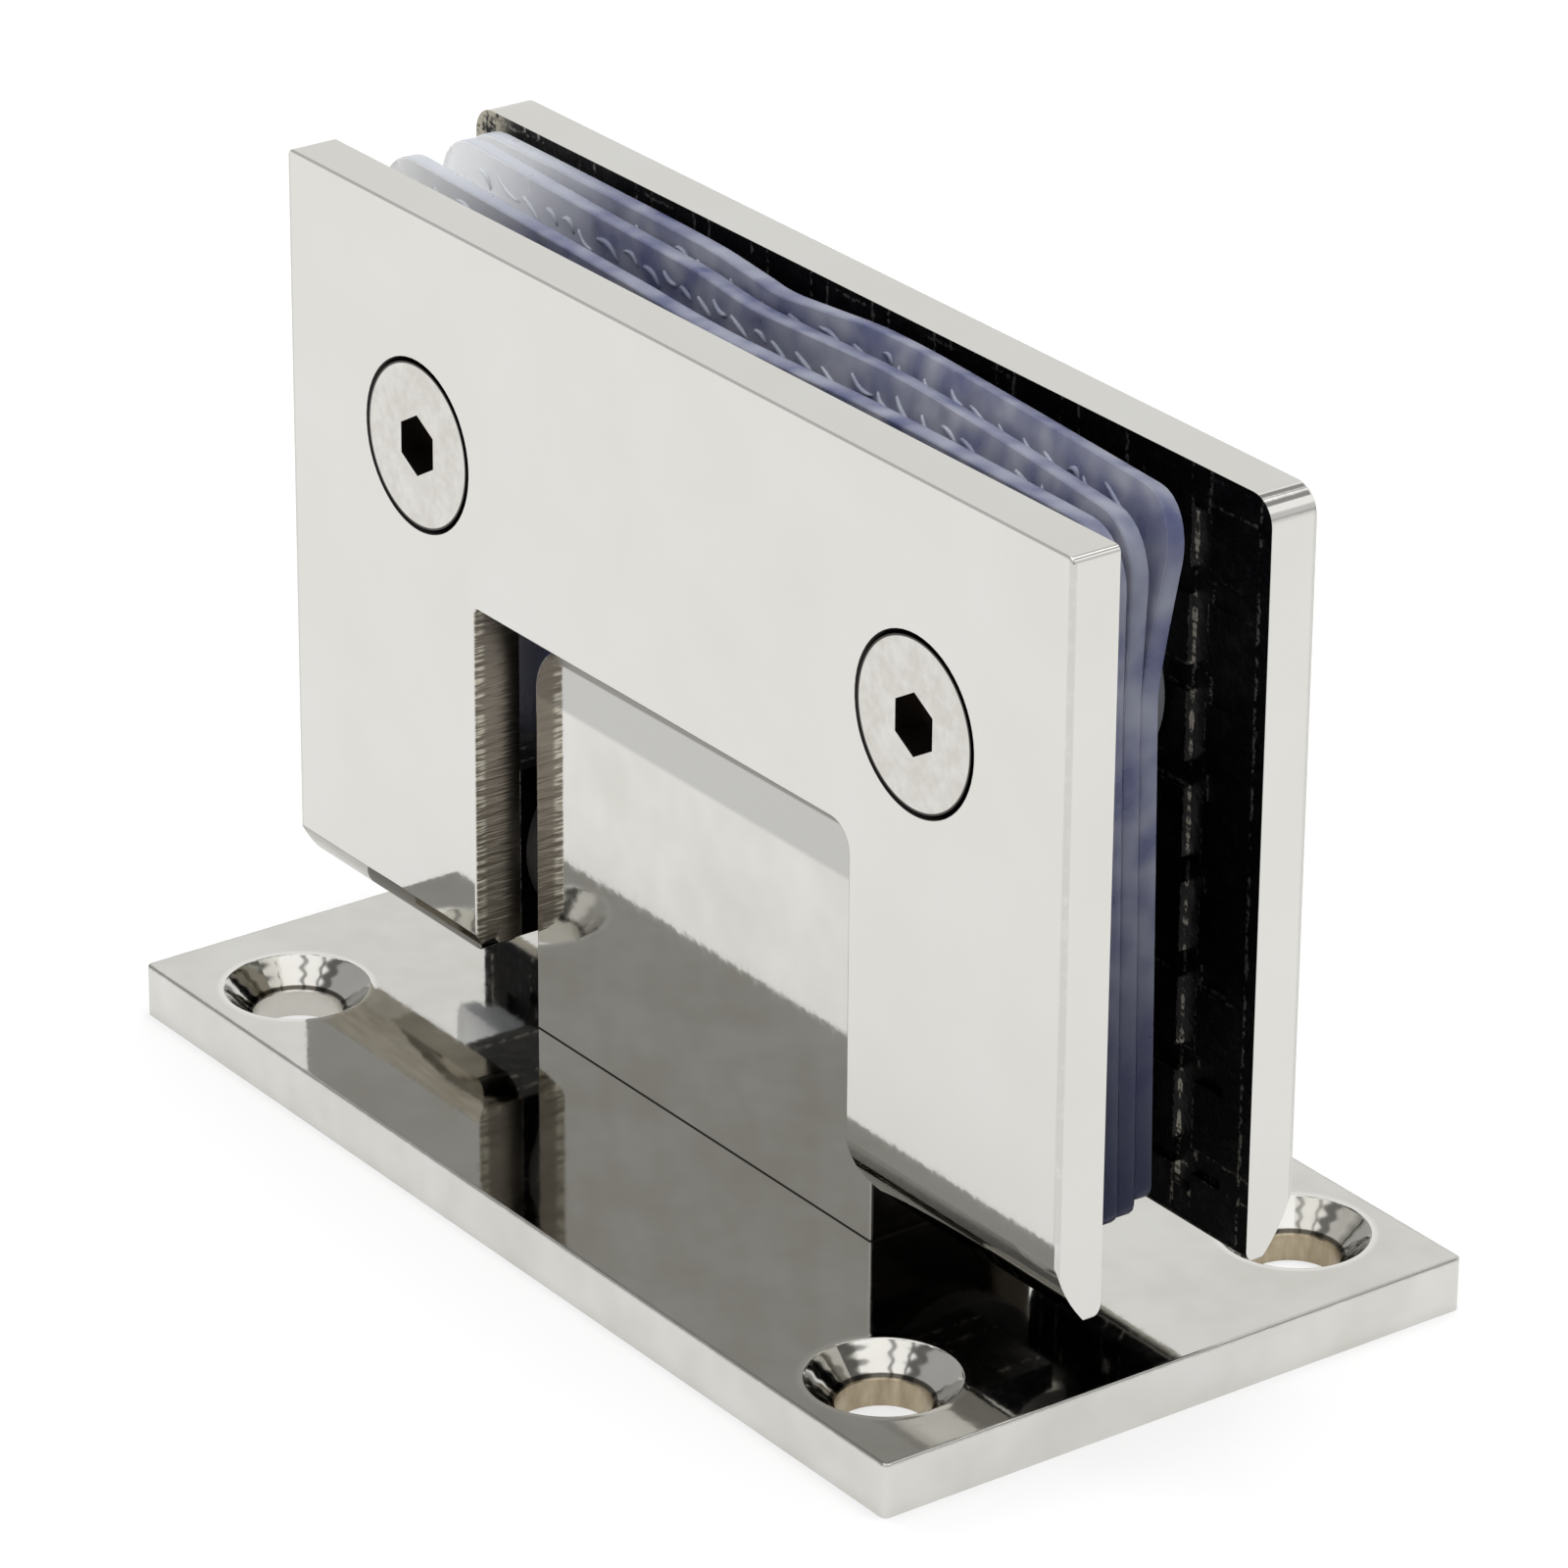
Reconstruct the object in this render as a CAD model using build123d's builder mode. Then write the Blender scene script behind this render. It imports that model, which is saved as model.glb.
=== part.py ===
from build123d import *
import math
import os

# Glass door hinge, wall to glass, standing on its wall plate.
# Millimetres. X runs along the swing axis, Y from the front clamp plate to the back one, Z up.
# The origin is the middle of the wall plate's underside.

# Wall plate
wall_length = 90.0
wall_width = 49.0
wall_thickness = 4.0
wall_corner_radius = 0.5
wall_hole_from_end = 9.5
wall_hole_from_side = 7.0
wall_hole_diameter = 6.5
wall_countersink_diameter = 10.6
rim_rounding = 0.2

# Pivot block and the swing axis
pivot_height = 17.0
block_depth = 14.0
block_above_pivot = 17.6
block_corner_radius = 4.0
block_screw_pitch = 24.0
block_screw_diameter = 5.0
block_screw_head_diameter = 9.2
block_screw_length = 10.0
block_screw_key_size = 3.0
block_screw_key_depth = 1.8
drill_extra_depth = 0.5

# Pin and its bushes
pin_diameter = 9.0
pin_end_inset = 0.4
pin_flat_depth = 0.6
pin_flat_margin = 0.2
pin_end_chamfer = 0.4
bush_wall = 1.0
bush_flange_diameter = 13.4
bush_flange_thickness = 1.7

# Detent plungers, their springs and the adjuster screws over them
plunger_pitch = 13.6
plunger_diameter = 7.0
plunger_length = 6.0
plunger_pocket_diameter = 5.0
plunger_pocket_depth = 4.0
plunger_tip_chamfer = 0.5
plunger_to_bush = 0.7
spring_coil_diameter = 3.8
spring_wire_size = 0.8
spring_turns = 5.0
adjuster_diameter = 7.9
adjuster_length = 3.5
adjuster_recess = 0.5
adjuster_key_size = 4.0
adjuster_key_depth = 2.0

# Clamp plates
clamp_length = 90.0
clamp_above_pivot = 47.3
clamp_below_pivot = 7.7
clamp_plate_thickness = 3.8
clamp_edge_rounding = 0.2
pin_to_front_plate = 7.0
glass_space = 12.3
front_corner_radius = 0.5
back_corner_radius = 2.0
cutout_width = 44.0
cutout_above_pivot = 20.0
cutout_left_corner_radius = 0.5
cutout_right_corner_radius = 2.0
leg_inner_corner_radius = 2.5
leg_outer_corner_radius = 0.5
leg_swing_radius = 11.2
front_left_leg_swing_radius = 12.1
leg_nose_inset = 1.2
leg_nose_rise = 0.9

# Milled grid on the inner faces of the clamp plates
grid_pitch = 6.9
grid_groove_width = 1.9
grid_groove_depth = 0.5
grid_margin = 3.0
grid_top_row_below_edge = 8.3

# Clamp screws, the bosses they run into and the sleeves round the bosses
clamp_screw_from_end = 16.1
clamp_screw_above_pivot = 30.0
clamp_screw_diameter = 6.0
clamp_screw_head_diameter = 12.2
flat_head_land = 0.3
flat_head_angle = 90
clamp_screw_length = 14.0
clamp_screw_key_size = 4.0
clamp_screw_key_depth = 2.3
clamp_head_ring = 0.35
boss_diameter = 10.0
boss_length = 9.5
sleeve_wall = 1.2
sleeve_length = 9.0

# Saddles of the front clamp plate and the screws that hold the pin in them
saddle_length = 9.4
saddle_height = 13.0
pin_land_offset = 1.5
pin_screw_diameter = 4.0
pin_screw_head_diameter = 7.0
pin_screw_head_height = 2.6
pin_screw_length = 10.4
pin_screw_key_size = 2.5
pin_screw_key_depth = 1.4

# Gasket sheets
gasket_thickness = 1.6
gasket_height = 48.6
gasket_edge_inset = 0.7
gasket_corner_radius = 4.0
gasket_step_radius = 1.0
gasket_notch_inset = 0.3
gasket_leg_inset = 0.9
gasket_saddle_clearance = 1.8
gasket_hole_clearance = 0.8
gasket_roll = 1.3
gasket_slip = 0.1
gasket_rear_rise = 0.95
gasket_bow_radius = 15.0

# Clearances, on the radius where the fit is round
running_clearance = 0.05
press_clearance = 0.02
thread_clearance = 0.08
screw_hole_clearance = 0.3
cam_clearance = 0.1
side_clearance = 0.3

# Sizes and places worked out from the sizes above
wall_hole_pitch_x = wall_length - 2 * wall_hole_from_end
wall_hole_pitch_y = wall_width - 2 * wall_hole_from_side
block_width = cutout_width - 2 * (bush_flange_thickness + side_clearance)
bush_hub_length = (block_width - plunger_pitch - plunger_diameter) / 2 - plunger_to_bush
pin_length = cutout_width + 2 * (saddle_length - pin_end_inset)
pin_flat_length = plunger_pitch + plunger_diameter + 2 * pin_flat_margin
clamp_screw_pitch = clamp_length - 2 * clamp_screw_from_end
grid_columns = int((clamp_length - 2 * grid_margin) / grid_pitch)
grid_rows = int((clamp_above_pivot + clamp_below_pivot - 2 * grid_margin) / grid_pitch)
block_top = pivot_height + block_above_pivot
clamp_top = pivot_height + clamp_above_pivot
clamp_bottom = pivot_height - clamp_below_pivot
cutout_top = pivot_height + cutout_above_pivot
clamp_screw_height = pivot_height + clamp_screw_above_pivot
front_inner_y = -pin_to_front_plate
front_outer_y = front_inner_y - clamp_plate_thickness
back_inner_y = front_inner_y + glass_space
pin_radius = pin_diameter / 2
bush_outer_radius = pin_radius + running_clearance + bush_wall
sleeve_inner_radius = boss_diameter / 2 + press_clearance
sleeve_outer_radius = sleeve_inner_radius + sleeve_wall
saddle_start = cutout_width / 2
pin_screw_offset = saddle_start + saddle_length / 2
plunger_tip = pivot_height + pin_radius + cam_clearance
spring_bottom = plunger_tip + plunger_length - plunger_pocket_depth
adjuster_bottom = block_top - adjuster_recess - adjuster_length

pin_plane = Plane(origin=(0, 0, pivot_height), z_dir=(1, 0, 0))
sides = (("left", -1), ("right", 1))
clamp_screw_spots = [(direction * clamp_screw_pitch / 2, clamp_screw_height) for side, direction in sides]

os.makedirs("parts", exist_ok=True)


# Flat-headed screws with a hexagon socket, their head's face on the given plane.
def flat_head_screws(plane, spots, head_diameter, shank_diameter, length, key_size, key_depth):
    head_radius = head_diameter / 2
    shank_radius = shank_diameter / 2 - thread_clearance
    cone_height = (head_radius - shank_radius) / math.tan(math.radians(flat_head_angle / 2))
    to_top = (Align.CENTER, Align.CENTER, Align.MAX)
    with BuildPart(plane) as screws:
        with Locations(*spots):
            Cylinder(head_radius, flat_head_land, align=to_top)
        with Locations(*[(x, y, -flat_head_land) for x, y in spots]):
            Cone(shank_radius, head_radius, cone_height, align=to_top)
        with Locations(*[(x, y, -flat_head_land - cone_height) for x, y in spots]):
            Cylinder(shank_radius, length - flat_head_land - cone_height, align=to_top)
        with BuildSketch(plane):
            with Locations(*spots):
                RegularPolygon(key_size / 2, 6, major_radius=False, rotation=30)
        extrude(amount=-key_depth, mode=Mode.SUBTRACT)
    return screws


# Wall plate: a rectangle of flat bar with four countersunk holes for the wall screws,
# and two more from below for the screws of the block.
with BuildPart() as wall_plate:
    with BuildSketch():
        RectangleRounded(wall_length, wall_width, wall_corner_radius)
    extrude(amount=wall_thickness)
    with Locations(Plane.XY.offset(wall_thickness)):
        with GridLocations(wall_hole_pitch_x, wall_hole_pitch_y, 2, 2):
            CounterSinkHole(
                wall_hole_diameter / 2,
                wall_countersink_diameter / 2,
                counter_sink_angle=flat_head_angle,
            )
    fillet(wall_plate.faces().sort_by(Axis.Z)[-1].edges(), rim_rounding)
    with Locations(Plane.XY.rotated((180, 0, 0))):
        with GridLocations(block_screw_pitch, 1, 2, 1):
            CounterSinkHole(
                block_screw_diameter / 2 + screw_hole_clearance,
                block_screw_head_diameter / 2 + screw_hole_clearance,
                counter_sink_angle=flat_head_angle,
            )
wall_plate.part.label = "wall_plate"
export_step(wall_plate.part, "parts/wall_plate.step")

# Pivot block: a bar with two rounded corners, bored along X for the pin's bushes
# and from above for the plungers, their springs and the adjuster screws.
with BuildPart() as pivot_block:
    with BuildSketch(Plane.XZ):
        with Locations((0, wall_thickness)):
            Rectangle(block_width, block_top - wall_thickness, align=(Align.CENTER, Align.MIN))
        fillet(vertices().group_by(Axis.Y)[-1], block_corner_radius)
    extrude(amount=block_depth / 2, both=True)
    face_edges = pivot_block.faces().filter_by(Axis.Y).edges()
    fillet(face_edges.filter_by(lambda edge: edge.center().Z > wall_thickness + rim_rounding), rim_rounding)
    with Locations(pin_plane):
        Hole(bush_outer_radius + press_clearance)
    with Locations(Plane.XY.offset(block_top)):
        with GridLocations(plunger_pitch, 1, 2, 1):
            CounterBoreHole(
                plunger_diameter / 2 + running_clearance,
                adjuster_diameter / 2 + thread_clearance,
                adjuster_recess + adjuster_length,
                depth=block_above_pivot,
            )
    with Locations(Plane(origin=(0, 0, wall_thickness), z_dir=(0, 0, -1))):
        with GridLocations(block_screw_pitch, 1, 2, 1):
            Hole(block_screw_diameter / 2, depth=block_screw_length - wall_thickness + drill_extra_depth)
pivot_block.part.label = "pivot_block"
export_step(pivot_block.part, "parts/pivot_block.step")

# Block screws: two flat-headed screws up through the wall plate.
block_screws = flat_head_screws(
    Plane(origin=(0, 0, 0), x_dir=(1, 0, 0), z_dir=(0, 0, -1)),
    [(-block_screw_pitch / 2, 0), (block_screw_pitch / 2, 0)],
    block_screw_head_diameter,
    block_screw_diameter,
    block_screw_length,
    block_screw_key_size,
    block_screw_key_depth,
)
block_screws.part.label = "block_screws"
export_step(block_screws.part, "parts/block_screws.step")

# Pin bushes: flanged black nylon bushes, pressed into both ends of the block's bore.
for side, direction in sides:
    flange_plane = Plane(origin=(direction * block_width / 2, 0, pivot_height), z_dir=(direction, 0, 0))
    with BuildPart(flange_plane) as pin_bush:
        Cylinder(
            bush_flange_diameter / 2,
            bush_flange_thickness,
            align=(Align.CENTER, Align.CENTER, Align.MIN),
        )
        Cylinder(bush_outer_radius, bush_hub_length, align=(Align.CENTER, Align.CENTER, Align.MAX))
        Hole(pin_radius + running_clearance)
    pin_bush.part.label = f"pin_bush_{side}"
    export_step(pin_bush.part, f"parts/pin_bush_{side}.step")

# Pivot pin: a round bar with three detent flats in the block, for closed and for open at
# either side, and a land with a cross hole at each end.
with BuildPart() as pivot_pin:
    with Locations(pin_plane):
        Cylinder(pin_radius, pin_length)
    chamfer(pivot_pin.faces().filter_by(Axis.X).edges(), pin_end_chamfer)
    flat_centre = pin_radius - pin_flat_depth + pin_radius
    with Locations(
        (0, 0, pivot_height + flat_centre),
        (0, -flat_centre, pivot_height),
        (0, flat_centre, pivot_height),
    ):
        Box(pin_flat_length, pin_diameter, pin_diameter, mode=Mode.SUBTRACT)
    land_length = pin_length / 2 - saddle_start - side_clearance
    land_centre = pin_length / 2 - land_length / 2
    with Locations(
        (-land_centre, pin_land_offset, pivot_height),
        (land_centre, pin_land_offset, pivot_height),
    ):
        Box(
            land_length,
            pin_diameter,
            pin_diameter,
            align=(Align.CENTER, Align.MIN, Align.CENTER),
            mode=Mode.SUBTRACT,
        )
    with Locations(Plane.XZ):
        with Locations((-pin_screw_offset, pivot_height), (pin_screw_offset, pivot_height)):
            Hole(pin_screw_diameter / 2 + screw_hole_clearance)
pivot_pin.part.label = "pivot_pin"
export_step(pivot_pin.part, "parts/pivot_pin.step")

# Plungers, springs and adjusters, one stack at each side of the block.
for side, direction in sides:
    stack_x = direction * plunger_pitch / 2
    with BuildPart(Plane(origin=(stack_x, 0, plunger_tip))) as detent_plunger:
        Cylinder(plunger_diameter / 2, plunger_length, align=(Align.CENTER, Align.CENTER, Align.MIN))
        chamfer(detent_plunger.faces().sort_by(Axis.Z)[0].edges(), plunger_tip_chamfer)
        with Locations((0, 0, plunger_length)):
            Hole(plunger_pocket_diameter / 2, depth=plunger_pocket_depth)
    detent_plunger.part.label = f"detent_plunger_{side}"
    export_step(detent_plunger.part, f"parts/detent_plunger_{side}.step")

    coil_start = spring_bottom + spring_wire_size / 2
    coil_height = adjuster_bottom - spring_bottom - spring_wire_size
    with BuildPart() as detent_spring:
        with BuildLine() as coil:
            Helix(
                coil_height / spring_turns,
                coil_height,
                spring_coil_diameter / 2,
                center=(stack_x, 0, coil_start),
            )
        with BuildSketch(Plane(origin=coil.line @ 0, x_dir=(1, 0, 0), z_dir=coil.line % 0)):
            Rectangle(spring_wire_size, spring_wire_size)
        sweep(path=coil.line, is_frenet=True)
    detent_spring.part.label = f"detent_spring_{side}"
    export_step(detent_spring.part, f"parts/detent_spring_{side}.step")

    with BuildPart(Plane(origin=(stack_x, 0, adjuster_bottom))) as adjuster_screw:
        Cylinder(adjuster_diameter / 2, adjuster_length, align=(Align.CENTER, Align.CENTER, Align.MIN))
        with BuildSketch(Plane(origin=(stack_x, 0, adjuster_bottom + adjuster_length))):
            RegularPolygon(adjuster_key_size / 2, 6, major_radius=False)
        extrude(amount=-adjuster_key_depth, mode=Mode.SUBTRACT)
    adjuster_screw.part.label = f"adjuster_screw_{side}"
    export_step(adjuster_screw.part, f"parts/adjuster_screw_{side}.step")


# Closed outline of a clamp plate, seen from the front, drawn inset from its true edge.
def clamp_outline(top_corner_radius, inset=0.0):
    outer_x = clamp_length / 2 - inset
    inner_x = cutout_width / 2 + inset
    top = clamp_top - inset
    notch_top = cutout_top + inset
    bottom = clamp_bottom + inset
    with BuildLine() as outline:
        FilletPolyline(
            (-outer_x, top),
            (outer_x, top),
            (outer_x, bottom),
            (inner_x, bottom),
            (inner_x, notch_top),
            (-inner_x, notch_top),
            (-inner_x, bottom),
            (-outer_x, bottom),
            radius=[
                top_corner_radius,
                top_corner_radius,
                leg_outer_corner_radius,
                leg_inner_corner_radius,
                cutout_right_corner_radius,
                cutout_left_corner_radius,
                leg_inner_corner_radius,
                leg_outer_corner_radius,
            ],
            close=True,
        )
    return outline.edges()


# Section of a clamp plate across X: straight faces, then an arc under the leg that lets it swing
# past the wall plate, and a rounded nose. The arc's centre lies as far inside as the pin does.
def clamp_section(inner_y, outward, swing_radius):
    outer_y = inner_y + outward * clamp_plate_thickness
    centre_y = inner_y - outward * pin_to_front_plate
    nose_y = inner_y + outward * leg_nose_inset

    def arc_z(y):
        return pivot_height - math.sqrt(swing_radius**2 - (y - centre_y) ** 2)

    middle_y = (outer_y + nose_y) / 2
    nose_z = arc_z(nose_y)
    nose_middle = (inner_y + outward * leg_nose_inset / 3, nose_z + leg_nose_rise / 4)
    with BuildLine() as section:
        Polyline(
            (inner_y, nose_z + leg_nose_rise),
            (inner_y, clamp_top),
            (outer_y, clamp_top),
            (outer_y, arc_z(outer_y)),
        )
        ThreePointArc((outer_y, arc_z(outer_y)), (middle_y, arc_z(middle_y)), (nose_y, nose_z))
        ThreePointArc((nose_y, nose_z), nose_middle, (inner_y, nose_z + leg_nose_rise))
    return section.edges()


# Grooves of the milled grid, kept inside the plate's margin.
def draw_grid(top_corner_radius):
    rows_middle = clamp_top - grid_top_row_below_edge - grid_pitch * (grid_rows - 1) / 2
    with GridLocations(grid_pitch, 1, grid_columns, 1):
        Rectangle(grid_groove_width, 2 * clamp_top)
    with Locations((0, rows_middle)):
        with GridLocations(1, grid_pitch, 1, grid_rows):
            Rectangle(clamp_length, grid_groove_width)
    make_face(clamp_outline(top_corner_radius, grid_margin), mode=Mode.INTERSECT)


# Front clamp plate: cast with two saddles for the pin's ends on its inner face, ground and
# polished outside, countersunk for the clamp screws.
with BuildPart() as front_plate_bar:
    for swing_radius, direction in ((front_left_leg_swing_radius, -1), (leg_swing_radius, 1)):
        with BuildSketch(Plane.YZ):
            make_face(clamp_section(front_inner_y, -1, swing_radius))
        extrude(amount=direction * clamp_length)
with BuildPart() as front_clamp_plate:
    with BuildSketch(Plane.XZ.offset(-front_inner_y)):
        make_face(clamp_outline(front_corner_radius))
    extrude(amount=clamp_plate_thickness)
    add(front_plate_bar.part, mode=Mode.INTERSECT)
    fillet(front_clamp_plate.faces().sort_by(Axis.Y)[0].edges(), clamp_edge_rounding)
    with BuildSketch(Plane.XZ.offset(-front_inner_y)):
        draw_grid(front_corner_radius)
    extrude(amount=grid_groove_depth, mode=Mode.SUBTRACT)
    with BuildSketch(Plane.XZ.offset(-front_inner_y + clamp_plate_thickness / 2)):
        with Locations((-pin_screw_offset, pivot_height), (pin_screw_offset, pivot_height)):
            Rectangle(saddle_length, saddle_height)
    extrude(amount=-(pin_to_front_plate + clamp_plate_thickness / 2))
    with Locations(pin_plane):
        Cylinder(pin_radius + press_clearance, clamp_length, mode=Mode.SUBTRACT)
    with Locations(Plane.XZ):
        with Locations((-pin_screw_offset, pivot_height), (pin_screw_offset, pivot_height)):
            Hole(pin_screw_diameter / 2, depth=pin_screw_length - pin_land_offset + drill_extra_depth)
    with Locations(Plane.XZ.offset(-front_outer_y)):
        with Locations(*clamp_screw_spots):
            CounterSinkHole(
                clamp_screw_diameter / 2 + screw_hole_clearance,
                clamp_screw_head_diameter / 2 + clamp_head_ring,
                counter_sink_angle=flat_head_angle,
            )
front_clamp_plate.part.label = "front_clamp_plate"
export_step(front_clamp_plate.part, "parts/front_clamp_plate.step")

# Back clamp plate: the same outline with rounder corners, and two threaded bosses.
with BuildPart() as back_clamp_plate:
    with BuildSketch(Plane.XZ.offset(-back_inner_y)):
        make_face(clamp_outline(back_corner_radius))
    extrude(amount=-clamp_plate_thickness)
    with BuildSketch(Plane.YZ):
        make_face(clamp_section(back_inner_y, 1, leg_swing_radius))
    extrude(amount=clamp_length, both=True, mode=Mode.INTERSECT)
    fillet(back_clamp_plate.faces().sort_by(Axis.Y)[-1].edges(), clamp_edge_rounding)
    with BuildSketch(Plane.XZ.offset(-back_inner_y)):
        draw_grid(back_corner_radius)
    extrude(amount=-grid_groove_depth, mode=Mode.SUBTRACT)
    with BuildSketch(Plane.XZ.offset(-back_inner_y - clamp_plate_thickness / 2)):
        with Locations(*clamp_screw_spots):
            Circle(boss_diameter / 2)
    extrude(amount=boss_length + clamp_plate_thickness / 2)
    with Locations(Plane.XZ.offset(-back_inner_y + boss_length)):
        with Locations(*clamp_screw_spots):
            Hole(clamp_screw_diameter / 2, depth=boss_length + drill_extra_depth)
back_clamp_plate.part.label = "back_clamp_plate"
export_step(back_clamp_plate.part, "parts/back_clamp_plate.step")

# Clamp screws, boss sleeves and pin screws, one of each at either side.
for side, direction in sides:
    screw_x = direction * clamp_screw_pitch / 2
    clamp_screw = flat_head_screws(
        Plane(origin=(screw_x, front_outer_y, clamp_screw_height), x_dir=(1, 0, 0), z_dir=(0, -1, 0)),
        [(0, 0)],
        clamp_screw_head_diameter,
        clamp_screw_diameter,
        clamp_screw_length,
        clamp_screw_key_size,
        clamp_screw_key_depth,
    )
    clamp_screw.part.label = f"clamp_screw_{side}"
    export_step(clamp_screw.part, f"parts/clamp_screw_{side}.step")

    sleeve_start = back_inner_y - side_clearance
    sleeve_plane = Plane(origin=(screw_x, sleeve_start, clamp_screw_height), z_dir=(0, -1, 0))
    with BuildPart(sleeve_plane) as boss_sleeve:
        Cylinder(sleeve_outer_radius, sleeve_length, align=(Align.CENTER, Align.CENTER, Align.MIN))
        Hole(sleeve_inner_radius)
    boss_sleeve.part.label = f"boss_sleeve_{side}"
    export_step(boss_sleeve.part, f"parts/boss_sleeve_{side}.step")

    pin_screw_x = direction * pin_screw_offset
    land_plane = Plane(origin=(pin_screw_x, pin_land_offset, pivot_height), z_dir=(0, 1, 0))
    with BuildPart(land_plane) as pin_screw:
        Cylinder(
            pin_screw_head_diameter / 2,
            pin_screw_head_height,
            align=(Align.CENTER, Align.CENTER, Align.MIN),
        )
        Cylinder(
            pin_screw_diameter / 2 - thread_clearance,
            pin_screw_length,
            align=(Align.CENTER, Align.CENTER, Align.MAX),
        )
        with BuildSketch(land_plane.offset(pin_screw_head_height)):
            RegularPolygon(pin_screw_key_size / 2, 6, major_radius=False)
        extrude(amount=-pin_screw_key_depth, mode=Mode.SUBTRACT)
    pin_screw.part.label = f"pin_screw_{side}"
    export_step(pin_screw.part, f"parts/pin_screw_{side}.step")

# Gaskets: three clear sheets that hang on the boss sleeves, fanned out at the left end and
# pressed together towards the right. All have the clamp plates' outline with a stepped notch
# that goes round the block and the saddles, and each is bowed as its course of points says:
# seen from above, the shares of the clamp's length and of the glass space at its middle.
front_course = ((-0.5, 0.345), (-0.29, 0.337), (-0.01, 0.195), (0.2, 0.171), (0.5, 0.09))
middle_course = ((-0.5, 0.752), (-0.13, 0.675), (-0.02, 0.561), (0.08, 0.545), (0.22, 0.407), (0.5, 0.268))
rear_course = ((-0.5, 0.911), (-0.15, 0.837), (-0.02, 0.707), (0.08, 0.724), (0.22, 0.569), (0.5, 0.455))
gasket_rows = (
    ("front", -gasket_slip, front_course),
    ("middle", gasket_slip, middle_course),
    ("rear", gasket_rear_rise, rear_course),
)
outer_x = clamp_length / 2 - gasket_edge_inset
leg_x = saddle_start + saddle_length + gasket_leg_inset
notch_x = cutout_width / 2 - gasket_notch_inset
gasket_end_rise = outer_x * math.sin(math.radians(gasket_roll))
gasket_middle_height = clamp_top - gasket_end_rise - gasket_height / 2
top = gasket_height / 2
notch_top = cutout_top - gasket_notch_inset - gasket_middle_height
step = pivot_height + saddle_height / 2 + gasket_saddle_clearance - gasket_middle_height
for place, lift, course in gasket_rows:
    sheet_plane = Plane(origin=(0, 0, gasket_middle_height + lift), x_dir=(1, 0, 0), z_dir=(0, -1, 0))
    with BuildPart() as gasket:
        with BuildSketch():
            with BuildLine():
                points = [(x * clamp_length, front_inner_y + y * glass_space) for x, y in course]
                FilletPolyline(*points, radius=gasket_bow_radius)
            trace(line_width=gasket_thickness)
        extrude(amount=clamp_top + gasket_height)
        with BuildSketch(sheet_plane.rotated((0, -gasket_roll, 0))):
            with BuildLine():
                FilletPolyline(
                    (-outer_x, top),
                    (outer_x, top),
                    (outer_x, -top),
                    (leg_x, -top),
                    (leg_x, step),
                    (notch_x, step),
                    (notch_x, notch_top),
                    (-notch_x, notch_top),
                    (-notch_x, step),
                    (-leg_x, step),
                    (-leg_x, -top),
                    (-outer_x, -top),
                    radius=2 * [gasket_corner_radius]
                    + 4 * [gasket_step_radius]
                    + 2 * [gasket_corner_radius]
                    + 4 * [gasket_step_radius],
                    close=True,
                )
            make_face()
        extrude(amount=glass_space, both=True, mode=Mode.INTERSECT)
        with Locations(Plane.XZ):
            with Locations(*clamp_screw_spots):
                Hole(sleeve_outer_radius + gasket_hole_clearance)
    gasket.part.label = f"gasket_{place}"
    export_step(gasket.part, f"parts/gasket_{place}.step")
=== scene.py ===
import math
import random

import bpy
import bmesh
from mathutils import Matrix, Vector
from mathutils.geometry import delaunay_2d_cdt


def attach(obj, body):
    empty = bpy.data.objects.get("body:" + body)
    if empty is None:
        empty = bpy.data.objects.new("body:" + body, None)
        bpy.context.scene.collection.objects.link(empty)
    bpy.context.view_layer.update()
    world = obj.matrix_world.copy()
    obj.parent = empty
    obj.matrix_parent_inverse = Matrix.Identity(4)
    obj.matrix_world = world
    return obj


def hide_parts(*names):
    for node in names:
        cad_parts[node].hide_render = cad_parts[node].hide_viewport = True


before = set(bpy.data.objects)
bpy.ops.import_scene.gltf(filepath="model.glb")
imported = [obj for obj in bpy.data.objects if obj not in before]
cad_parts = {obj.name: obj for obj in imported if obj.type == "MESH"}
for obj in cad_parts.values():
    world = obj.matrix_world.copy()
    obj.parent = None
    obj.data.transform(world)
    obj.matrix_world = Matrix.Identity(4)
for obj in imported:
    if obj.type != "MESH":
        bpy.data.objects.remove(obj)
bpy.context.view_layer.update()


# Wall plate: a length of flat stainless bar, mirror polished on top, with four turned
# countersinks. It is screwed to the wall, and the block stands on it.
MM = 0.001


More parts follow.
